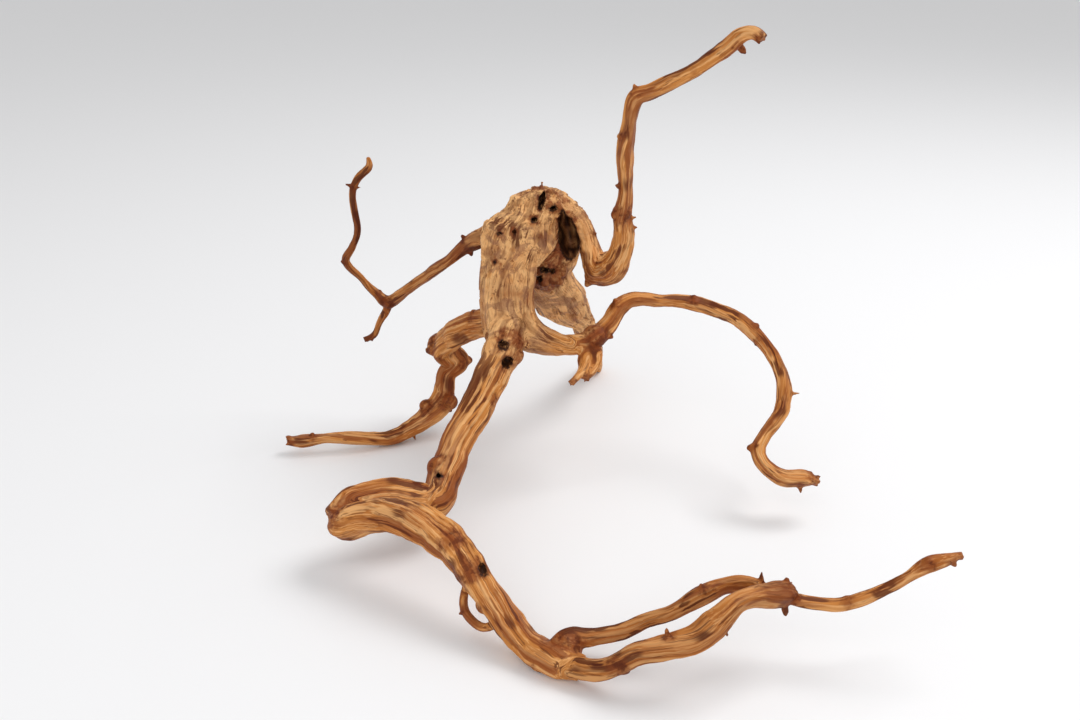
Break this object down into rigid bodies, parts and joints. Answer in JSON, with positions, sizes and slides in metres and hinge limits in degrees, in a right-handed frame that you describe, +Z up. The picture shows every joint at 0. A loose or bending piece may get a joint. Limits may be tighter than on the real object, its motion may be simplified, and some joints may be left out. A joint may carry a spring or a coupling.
{
  "type": "spiderwood root",
  "caption": "Branching, twisted driftwood root with a knotted, hollowed trunk, a looping main stem and thin curling limbs, for dressing a tank or a display.",
  "frame": {"origin": "on the ground it rests on, under the middle of the bounding box", "axes": "+Z up, -Y towards the front, where the looping stem lies, +X to the right seen from the front, where the arching limb comes down"},
  "size_m": [0.3368, 0.3494, 0.2571],
  "materials": {
    "wood": "matte, orange-brown with dark red-brown streaks along the grain"
  },
  "bodies": {
    "root": {"spiderwood_root": "wood"}
  },
  "joints": []
}
